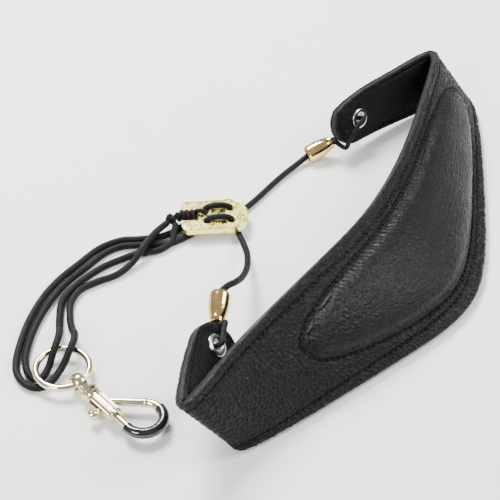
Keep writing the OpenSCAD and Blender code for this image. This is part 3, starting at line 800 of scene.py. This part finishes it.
def punch(piece):
    """Cuts the two eyelet holes through a layer."""
    cutters = []
    for at in EYELETS_AT.values():
        place, normal = eyelet_axis(at)
        rod = along_axis(place, normal, [(HOLE_R, -HOLE_REACH), (HOLE_R, HOLE_REACH)], 40)
        cutter = lofted("cutter", "foam", rod)
        cutters.append(cutter)
        cut = piece.modifiers.new("hole", "BOOLEAN")
        cut.operation, cut.object, cut.solver = "DIFFERENCE", cutter, "MANIFOLD"
    applied(piece)
    for cutter in cutters:
        bpy.data.objects.remove(cutter)
    return piece


band_outer = punch(layer(
    "band_outer_leather", FOAM_HIGH + 0.03, OUTER_FACE, "leather", 0.0,
    outside=lambda middle: face_relief(middle, OUTER_GRAIN, True, 1)))
band_lining = punch(layer(
    "band_lining", LINING_FACE, FOAM_LOW - 0.03, "lining_leather", 0.1,
    inside=lambda middle: face_relief(middle, LINING_GRAIN, False, 5)))
band_foam = punch(layer("band_foam", FOAM_LOW, FOAM_HIGH, "foam", 0.35))
for piece, node in ((band_outer, "outer_leather"), (band_lining, "lining"), (band_foam, "foam_core")):
    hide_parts(node)
    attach(piece, "strap")


# -------------------- the padded panel

PAD_BASE = OUTER_FACE - 0.25
PAD_TOP = PAD_H - 0.6
PAD_BOTTOM = PAD_COVER_T * 0.4
VOXEL = 3.0
SIM_FRAMES = 20
SIM_CAP = 2.2
SIM_START = 0.80  # the slack pad's height before it fills, as a share of its full height


def pad_height(s, r):
    """Height of the pad's plain crowned shape over its base."""
    return PAD_BOTTOM + (PAD_TOP - PAD_BOTTOM) * crown(s, r)


def pad_form(rows, cols, scale, drop):
    """Rings of the pad's closed shape, with its plain crown times scale."""
    s = PAD_MID_S - PAD_HALF_S * np.cos(np.linspace(0.02, math.pi - 0.02, rows))[:, None] * np.ones(cols)
    r = np.ones(rows)[:, None] * np.linspace(-1, 1, cols)
    v = PAD_MID_V + PAD_HALF_V * pad_share(s) * r
    top = off_band(s, v, PAD_BASE + scale * pad_height(s, r))
    under = off_band(s, v, np.full(s.shape, PAD_BASE - drop))[:, ::-1]
    return np.concatenate([top, under], axis=1)


def inflated():
    """The pad after a cloth simulation, as a tree to look heights up in."""
    work = lofted("pad_work", "leather", pad_form(rows=60, cols=22, scale=SIM_START, drop=1.5))
    remesh = work.modifiers.new("remesh", "REMESH")
    remesh.mode, remesh.voxel_size = "VOXEL", VOXEL * MM
    before = np.array([v.co for v in applied(work).vertices])
    rim_tree = tree_of(pad_rim_line * MM)
    pins = work.vertex_groups.new(name="pins")
    for i, p in enumerate(before):
        near = rim_tree.find(p)[2] / MM
        pins.add([i], float(np.clip(1.3 - near / 5, 0, 1)), "REPLACE")
    cloth = work.modifiers.new("cloth", "CLOTH")
    settings = cloth.settings
    settings.quality = 6
    settings.mass = 0.15
    settings.use_pressure = True
    settings.uniform_pressure_force = 4.0
    settings.tension_stiffness = settings.compression_stiffness = 12
    settings.bending_stiffness = 0.3
    settings.vertex_group_mass = "pins"
    settings.effector_weights.gravity = 0
    cloth.point_cache.frame_start, cloth.point_cache.frame_end = 1, SIM_FRAMES
    for f in range(1, SIM_FRAMES + 1):
        scene.frame_set(f)
    done = applied(work)
    after = np.array([v.co for v in done.vertices])
    scene.frame_set(1)
    move = after - before
    length = np.linalg.norm(move, axis=1, keepdims=True)
    capped = before + move * np.minimum(1, SIM_CAP * MM / np.maximum(length, 1e-9))
    faces = [tuple(p.vertices) for p in done.polygons]
    bpy.data.objects.remove(work)
    return BVHTree.FromPolygons([Vector(p) for p in capped], faces)


def smooth_grid(grid, times):
    """The grid with each value mixed with its four neighbours, several times."""
    for _ in range(times):
        p = np.pad(grid, 1, mode="edge")
        grid = (p[:-2, 1:-1] + p[2:, 1:-1] + p[1:-1, :-2] + p[1:-1, 2:] + 4 * p[1:-1, 1:-1]) / 8
    return grid


PAD_ROWS = 340
PAD_COLS = 116
grid_s = (PAD_MID_S + PAD_HALF_S * 0.9995 * gathered(PAD_ROWS, 0.38))[:, None] * np.ones(PAD_COLS)
grid_r = np.ones(PAD_ROWS)[:, None] * gathered(PAD_COLS, 0.2)
grid_v = PAD_MID_V + PAD_HALF_V * pad_share(grid_s) * grid_r
pad_middle = on_band(grid_s, grid_v)
pad_normal = band_normal(grid_s, grid_v)
LOOK_FROM, LOOK_REACH = 16, 20
PAD_THINNEST = 0.2
full = pad_height(grid_s, grid_r)
filled = inflated()
for index in np.ndindex(full.shape):
    n = Vector(pad_normal[index])
    start = Vector(pad_middle[index] * MM) + n * (PAD_BASE + LOOK_FROM) * MM
    hit = filled.ray_cast(start, -n, LOOK_REACH * MM)
    if hit[0] is not None:
        full[index] = max(PAD_THINNEST, LOOK_FROM - hit[3] / MM)
full = smooth_grid(full, 10)

# Puckers run out from the seam, deepest along the neck side
PUCKER_PITCH, SLOW_PITCH = 2.7, 4.3
PUCKER_AT, PUCKER_WIDTH = 2.2, 1.9
PUCKER_H, NECK_SIDE_H = 0.10, 0.17
PAD_SWELL, PAD_SWELL_SIZE = 0.45, 20
# Painted highlight along the pad's shoulder: its strength, distance from the rim and width.
SHOULDER_HIGHLIGHT, SHOULDER_AT, SHOULDER_WIDTH = 0.35, 3.4, 1.6
rim = distance_to(pad_middle, pad_rim_line)
seam_pull = 1 - np.exp(-(rim / 1.5) ** 1.1)
height = 0.15 + full * seam_pull
rim_place = running_length(pad_rim_line[:PAD_EDGE_POINTS])
pucker_at = np.interp(grid_s, pad_s, rim_place)
ripple = np.sin(2 * math.pi * pucker_at / PUCKER_PITCH + 3.0 * drift(pad_middle, 6, 11))
ripple += 0.6 * np.sin(2 * math.pi * pucker_at / SLOW_PITCH + 5.0 * drift(pad_middle, 9, 12))
pucker_height = PUCKER_H + NECK_SIDE_H * (grid_r < 0) * drift(pad_middle, 18, 13)
height += pucker_height * ripple * bell(rim - PUCKER_AT, PUCKER_WIDTH)
height += PAD_SWELL * (drift(pad_middle, PAD_SWELL_SIZE, 14) - 0.5) * np.clip(rim / 5, 0, 1)
grain = pebbles(pad_middle + pad_normal * height[..., None], PAD_GRAIN[0], 2)
height += PAD_GRAIN[1] * np.clip(rim / 1.0, 0, 1) * (grain - 0.5)
pad_top = pad_middle + pad_normal * (PAD_BASE + height)[..., None]
pad_under = (pad_middle + pad_normal * (PAD_BASE - 0.1))[:, every_few(PAD_COLS, 10)][:, ::-1]
# Painted highlight: the leather is lighter along the crest of the pad's shoulder, where the tall pad rounds
# over.
shoulder_wear = SHOULDER_HIGHLIGHT * bell(rim - SHOULDER_AT, SHOULDER_WIDTH) * (full > 2)
pad_wear = np.concatenate([shoulder_wear, np.zeros(pad_under.shape[:2])], axis=1)
pad = lofted("padded_panel", "leather", np.concatenate([pad_top, pad_under], axis=1), pad_wear)
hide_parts("pad_cover", "pad_foam")
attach(pad, "strap")


# -------------------- stitching

STITCH_L, STITCH_GAP = 2.5, 0.8
STITCH_LIFT, STITCH_DIP = 0.34, 0.42
THREAD_R = 0.38
THREAD_RING, STITCH_ROWS = 8, 9


def stitches(name, s, v, face, side, node=None):
    """Separate stitches along a closed seam; each dips into the leather at its two ends."""
    flat = on_band(s, v)
    line = np.concatenate([flat, s[:, None], v[:, None]], axis=1)
    line = np.vstack([line, line[:1]])
    along = running_length(line[:, :3])
    count = round(along[-1] / (STITCH_L + STITCH_GAP))
    pitch = along[-1] / count
    parts = Parts()
    turn = full_turn(THREAD_RING)
    t = np.linspace(0, 1, STITCH_ROWS)
    bow = np.sin(math.pi * t)
    for k in range(count):
        at = k * pitch + t * (pitch - STITCH_GAP)
        ss, vv = np.interp(at, along, line[:, 3]), np.interp(at, along, line[:, 4])
        centre = off_band(ss, vv, face + side * (STITCH_LIFT * bow ** 0.6 - STITCH_DIP))
        thick = THREAD_R * (0.55 + 0.45 * bow ** 0.5)
        twist = 1 + 0.14 * np.cos(2 * turn[None] + 10 * t[:, None])
        # Painted shade: each stitch is darker towards its ends, where it dips into the leather.
        shade = 0.3 + 0.7 * np.repeat(bow[:, None], THREAD_RING, 1)
        parts.add(sweep(centre, thick[:, None] * twist, THREAD_RING), shade)
    made = parts.make(name, "thread")
    if node:
        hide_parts(node)
    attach(made, "strap")


stitches("border_stitches", border_s, border_v, OUTER_FACE + 0.05, 1, "edge_stitching")
stitches("lining_stitches", border_s, border_v, LINING_FACE - 0.05, -1)
stitches("pad_stitches", pad_seam_s, pad_seam_v, OUTER_FACE + 0.05, 1, "pad_stitching")


# -------------------- eyelets

EYELET_RING = 72


def turned(name, rings, node):
    """A closed nickel ring in the place of its CAD node."""
    made = lofted(name, "nickel", rings, closed=True)
    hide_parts(node)
    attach(made, "strap")


def eyelet(name, at, node):
    """A rolled flange on the lining face, with its barrel through the leather."""
    place, normal = eyelet_axis(at)
    base = place + normal * (LINING_FACE - FLANGE_GAP)
    inner, outer = EYELET_R, EYELET_D / 2
    roll = [(inner + (outer - inner) * (0.5 - 0.5 * math.cos(t)), -math.sin(t) ** 0.75)
            for t in np.linspace(0.0, math.pi, 15)]
    profile = [(inner, STACK_T + 1.4), (inner, 0.2)] + roll + [
        (outer, 0.12), (outer - 0.5, 0.18), (inner + EYELET_WALL, 0.18),
        (inner + EYELET_WALL, STACK_T + 1.4)]
    turned(name, along_axis(base, normal, profile, EYELET_RING), node)


def washer(name, at, node):
    """The crimped ring on the outer face, with the barrel's end curled over it."""
    place, normal = eyelet_axis(at)
    base = place + normal * (OUTER_FACE + 0.2)
    outer, inner = EYELET_D / 2 - 0.3, EYELET_R + EYELET_WALL + 0.05
    shoulder = [(outer - 0.5 * (1 - math.cos(t)), 0.25 + 0.55 * math.sin(t))
                for t in np.linspace(-0.4, math.pi / 2, 7)]
    curl = [(inner + 0.9, 0.75), (inner + 0.5, 0.98), (inner + 0.1, 0.9), (inner, 0.6)]
    profile = [(inner, 0.05)] + shoulder + curl
    turned(name, along_axis(base, normal, profile, EYELET_RING), node)


for build, shown, node in ((eyelet, "_eyelet_rolled", "_eyelet"),
                           (washer, "_washer_crimped", "_eyelet_washer")):
    for part, at in EYELETS_AT.items():
        build(part + shown, at, part + node)


# -------------------- loops, weaves, wrap and knots

LOOP_R = 1.35
LEG_GAP = 1.4
LOOP_CLEAR = OUTER_FACE + FLANGE_GAP + FLANGE_T + LOOP_R + 0.25
LOWER_BEAD = (np.array([-29, -69.2, 22.8]), unit(np.array([0.1, 0.93, 0.36])))
UPPER_BEAD = (np.array([29.8, 81.4, 9.4]), unit(np.array([-0.87, -0.36, -0.34])))
BEAD_L = 15.0
KNOT_BACK = 7.2  # how far a bead's knot lies from the bead's mouth
KNOT_R, KNOT_LIFT = 1.9, 1.2


def loop_line(s, rim_at, bead, inner_end, outer_end):
    """From the knot in the bead, over the tab's rim, through the eyelet and back."""
    place, d = bead
    n = band_normal(s, 0.5)
    side = LEG_GAP * unit(n - float(n @ d) * d)

    def leg(k, off):
        return off_band(s + (rim_at[0] - s) * k, 0.5 + (rim_at[1] - 0.5) * k, off)

    inside, entry, outside = place + d * 3, place - d * 0.3, place - d * 1.4
    return through([inside - side, entry - side, outside - side]
                   + [leg(k, -LOOP_CLEAR) for k in (inner_end, 0.75, 0.5, 0.25)]
                   + [off_band(s, 0.5, off) for off in (-LOOP_CLEAR - 0.5, 0.0, LOOP_CLEAR + 0.5)]
                   + [leg(k, LOOP_CLEAR) for k in (0.25, 0.5, 0.75, outer_end)]
                   + [outside + side, entry + side, inside + side])


def knot_line(centre, direction):
    """An overhand knot: a closed three-lobed line about a direction."""
    d, a, b = axes(direction)
    t = full_turn(90)[:, None]
    x, y = (np.sin(t) + 2 * np.sin(2 * t)) / 3, (np.cos(t) - 2 * np.cos(2 * t)) / 3
    return centre + KNOT_R * (x * a + y * b) + KNOT_LIFT * np.sin(3 * t) * d


def knot_piece(name, centre, direction, diameter, node, body):
    line = knot_line(centre, direction)
    rings, shade = braid(np.vstack([line, line[:1]]), diameter, round_end=False)
    made = lofted(name, "cord", rings[:-1], shade[:-1], closed=True)
    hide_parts(node)
    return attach(made, body)


loops = {}
for part, rim_at, bead, ends in (("lower", LOWER_RIM_AT, LOWER_BEAD, (1.0, 1.0)),
                                 ("upper", UPPER_RIM_AT, UPPER_BEAD, (1.05, 0.85))):
    line = loop_line(EYELETS_AT[part], rim_at, bead, *ends)
    loops[part] = (cord_piece(part + "_loop_braid", line, 2 * LOOP_R), line)
    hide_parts(part + "_cord_loop")
    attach(loops[part][0], "strap")
    centre = bead[0] + bead[1] * (BEAD_L - KNOT_BACK)
    knot_piece(part + "_bead_knot", centre, bead[1], 2.4, part + "_knot", "strap")

SLIDER_AT = np.array([-30, 24.1, 4.2])
SLIDER_TURN = math.radians(5)
HOLE_X, HOLE_Y, PLATE_LEFT, PLATE_T, PLATE_HOLE_R = 6.0, 4.5, 19.0, 3.0, 2.4
# A cord's way over the plate, as (x, z) points that mirror about x = 0
HALF_WEAVE = [(8.9, -2.3), (7.2, -1.7), (6.1, 0), (6, 2.6), (5.4, 4.0), (3.2, 5.0)]
WEAVE = HALF_WEAVE + [(0, 5.3)] + [(-x, z) for x, z in HALF_WEAVE[::-1]]


def turned_about_z(points, angle):
    c, s = math.cos(angle), math.sin(angle)
    x, y, z = np.moveaxis(np.asarray(points, float), -1, 0)
    return np.stack([c * x - s * y, s * x + c * y, z], -1)


def at_slider(points):
    """Points from the slider's own frame into the strap's."""
    return turned_about_z(points, SLIDER_TURN) + SLIDER_AT


for part, y in (("upper", HOLE_Y), ("lower", -HOLE_Y)):
    line = at_slider(through([(x, y, z) for x, z in WEAVE]))
    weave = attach(cord_piece("weave_" + part + "_braid", line, NECK_CORD_D), "slider")
    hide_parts("cord_weave_" + part)

# The wrap: four turns in the plate's notch, then a thin tail that lies on the plate
TURN_R, TURN_CORD_R, TURN_PITCH, TURN_LEVEL = 2.0, 1.2, 2.5, 3.4
turns = np.linspace(-0.45, 3.45, 120)
coil = np.stack([-PLATE_LEFT - 0.5 + turns * TURN_PITCH, TURN_R * np.sin(turns * 2 * math.pi),
                 TURN_LEVEL - TURN_R * np.cos(turns * 2 * math.pi)], 1)
lead = np.array([[-24.4, -1.4, 3.4], [-22.6, -1.4, 2.6]])
tail = np.array([[-9.0, 0.9, 5.2], [-7.0, 0.6, 4.4], [-5.0, 0.2, 4.2]])
wrap_line = at_slider(through(np.vstack([lead, coil[::4], tail]), 10))
wrap = cord_piece("tie_wrap_braid", wrap_line, 2 * TURN_CORD_R)
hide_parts("tie_wrap")
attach(wrap, "slider")
knot_at = at_slider(np.array([-PLATE_LEFT - 5, -1.6, 2.8]))
knot = knot_piece("stopper_knot_braid", knot_at, (0.5, 0.3, 0.8), 2.7, "stopper_knot", "slider")


# -------------------- the CAD cords hidden, and the braids' meshes baked in place


for cord_name, start, end in (
        ("lower_neck_cord", (-0.0265, -0.051, 0.027), (-0.021, 0.016, 0.003)),
        ("upper_neck_cord", (0.0145, 0.0725, 0.006), (-0.019, 0.033, 0.002)),
        ("hook_cord_outer", (-0.100, -0.020, 0.002), (-0.052, 0.020, 0.002)),
        ("hook_cord_inner", (-0.100, -0.020, 0.002), (-0.052, 0.016, 0.002))):
    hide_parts(cord_name)
    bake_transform(cords[cord_name])


# -------------------- the cast plate's ornament

PLATE_Z = SLIDER_AT[2] + PLATE_T


def plate_loops():
    """The edges of the plate's top face, as closed lines in the slider's own frame."""
    mesh = nodes["slider_plate"].data
    top = [p for p in mesh.polygons if p.normal.z > 0.99 and p.center.z > (PLATE_Z - 0.05) * MM]
    edges = {}
    for p in top:
        loop = [tuple(round(c / MM, 3) for c in mesh.vertices[i].co) for i in p.vertices]
        for a, b in zip(loop, loop[1:] + loop[:1]):
            edges.setdefault(frozenset((a, b)), []).append((a, b))
    after = dict(runs[0] for runs in edges.values() if len(runs) == 1)
    found = []
    while after:
        here, there = next(iter(after.items()))
        line = [here]
        while here in after:
            here = after.pop(here)
            line.append(here)
        found.append(np.array(line[:-1]))
    return found


def to_slider(points):
    """Points from the strap's frame into the slider's own."""
    return turned_about_z(np.asarray(points, float) - SLIDER_AT, -SLIDER_TURN)


def area_of(line):
    """Area inside a closed line; below zero if the line runs clockwise."""
    x, y = line[:, 0], line[:, 1]
    return 0.5 * float((x * np.roll(y, -1) - y * np.roll(x, -1)).sum())


def drawn_in(line, inset):
    """A closed line moved to its left by inset and evened out."""
    closed = spaced(np.vstack([line, line[:1]]), 0.35)[:-1]
    ahead = unit(np.roll(closed, -1, 0) - np.roll(closed, 1, 0))
    left = np.stack([-ahead[:, 1], ahead[:, 0]], 1)
    moved = closed + left * inset
    for _ in range(3):
        moved = (np.roll(moved, 1, 0) + 2 * moved + np.roll(moved, -1, 0)) / 4
    return moved


DOME_ROWS, DOME_RING = 5, 12


def dome(centre, long, wide, high, turn):
    """Rings of a low rounded boss on the plate's top, closed underneath."""
    t = full_turn(DOME_RING)
    c, s = math.cos(turn), math.sin(turn)
    out = []
    for k in range(DOME_ROWS):
        a = math.pi / 2 * k / (DOME_ROWS - 1) * 0.97
        x, y = long * math.cos(a) * np.cos(t), wide * math.cos(a) * np.sin(t)
        z = np.full(DOME_RING, PLATE_T - 0.05 + high * math.sin(a))
        out.append(np.stack([centre[0] + c * x - s * y, centre[1] + s * x + c * y, z], 1))
    return np.array(out)


def ridge(line, r):
    """Rings of a raised line on the plate's top."""
    return sweep(np.column_stack([line, np.full(len(line), PLATE_T)]), r, 8, up=(0, 0, 1))


outlines = sorted((to_slider(p)[:, :2] for p in plate_loops()), key=lambda p: -abs(area_of(p)))
outer_line = outlines[0] if area_of(outlines[0]) > 0 else outlines[0][::-1]
rim_line = drawn_in(outer_line, 0.75)
blocked = np.vstack([spaced(np.vstack([o, o[:1]]), 0.3) for o in outlines])
ornament = Parts()
ornament.add(at_slider(ridge(rim_line, 0.42)), closed=True)
collar_turn = full_turn(36)
collar = (PLATE_HOLE_R + 0.5) * np.stack([np.cos(collar_turn), np.sin(collar_turn)], 1)
for x in (-HOLE_X, HOLE_X):
    for y in (-HOLE_Y, HOLE_Y):
        ornament.add(at_slider(ridge(collar + (x, y), 0.4)), closed=True)


def inside(line, p):
    """Whether a closed line runs round a point."""
    x, y = line[:, 0] - p[0], line[:, 1] - p[1]
    x2, y2 = np.roll(x, -1), np.roll(y, -1)
    return abs(np.arctan2(x * y2 - y * x2, x * x2 + y * y2).sum()) > math.pi


# Circles that fill the free parts of the plate's top, the large ones first
CIRCLE_SIZES = (2.1, 1.5, 1.05, 0.75, 0.5)
TRIES = 900
FLOWER_FROM, SPIRAL_FROM = 1.3, 0.85
PETALS = 6
draws = np.random.default_rng(7)
circles = []
for smallest in CIRCLE_SIZES:
    for _ in range(TRIES):
        p = draws.uniform((-PLATE_LEFT, -15), (16, 15))
        if not inside(outer_line, p):
            continue
        room = np.linalg.norm(blocked - p, axis=1).min() - 1.15
        if min(abs(p[1] - HOLE_Y), abs(p[1] + HOLE_Y)) < 1.9 and abs(p[0]) < HOLE_X:
            room = 0
        for q, r in circles:
            room = min(room, np.linalg.norm(q - p) - r - 0.12)
        if room >= smallest:
            circles.append((p, min(room, smallest * 1.25)))
for p, r in circles:
    turn = draws.uniform(0, 2 * math.pi)
    if r > FLOWER_FROM:
        for a in turn + full_turn(PETALS):
            centre = p + 0.6 * r * np.array([math.cos(a), math.sin(a)])
            ornament.add(at_slider(dome(centre, 0.4 * r, 0.24 * r, 0.42, a)))
        ornament.add(at_slider(dome(p, 0.24 * r, 0.24 * r, 0.6, 0)))
    elif r > SPIRAL_FROM:
        t = np.linspace(0.4, 2.2 * 2 * math.pi / 1.4, 26)
        spiral = p + (r * 0.92 * t / t[-1])[:, None] * np.stack([np.cos(t + turn), np.sin(t + turn)], 1)
        ornament.add(at_slider(ridge(spiral, np.linspace(0.16, 0.3, 26)[:, None])))
    else:
        ornament.add(at_slider(dome(p, r * 0.95, r * 0.6, 0.34, turn)))
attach(ornament.make("plate_ornament", "plate_gold"), "slider")


# -------------------- the snap hook's small cast details

RING_AT = np.array([-98.7, -80.8, 5.4])
RING_R = 12.2
HOOK_TURN = math.radians(-47.5)
BARREL_R, BARREL_START, BARREL_MOUTH = 3.3, 12.4, 27.1
RIDGE_R, RIM_R = 0.42, 0.5


def at_hook(points):
    """Points from the hook's own frame, with X along the barrel, into the strap's."""
    return turned_about_z(np.asarray(points, float) + (RING_R, 0, 0), HOOK_TURN) + RING_AT


barrel_parts = Parts()
hook_eye, along_barrel = at_hook([[0.0, 0, 0], [1.0, 0, 0]])
for angle in (-60, -30, 0, 30, 60):
    y, z = BARREL_R * math.sin(math.radians(angle)), BARREL_R * math.cos(math.radians(angle))
    line = at_hook(spaced(np.array([[BARREL_START, y, z], [BARREL_MOUTH - 1.2, y, z]]), 0.5))
    thin = np.clip(np.sin(np.linspace(0.02, math.pi - 0.02, len(line))) * 6, 0.1, 1)
    barrel_parts.add(sweep(line, RIDGE_R * thin[:, None], 8))
rim_profile = [(BARREL_R - 0.1 + RIM_R * math.cos(t), BARREL_MOUTH - 0.6 + RIM_R * math.sin(t))
               for t in full_turn(12)]
barrel_parts.add(along_axis(hook_eye, along_barrel - hook_eye, rim_profile, 48), closed=True)
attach(barrel_parts.make("barrel_ridges", "hook_gold"), "hook")


# -------------------- finishes of the CAD nodes

FINISH = {
    "plate_gold": ("slider_plate",),
    "bead_gold": ("lower_bead", "upper_bead"),
    "hook_gold": ("ring", "swivel_eye", "hook_body", "trigger_bolt", "thumb_knob"),
    "rubber_dip": ("hook_dip",),
    "spring_steel": ("trigger_spring",)}
for finish, finished in FINISH.items():
    for node in finished:
        mesh = nodes[node].data
        mesh.materials.clear()
        mesh.materials.append(MATERIALS[finish])
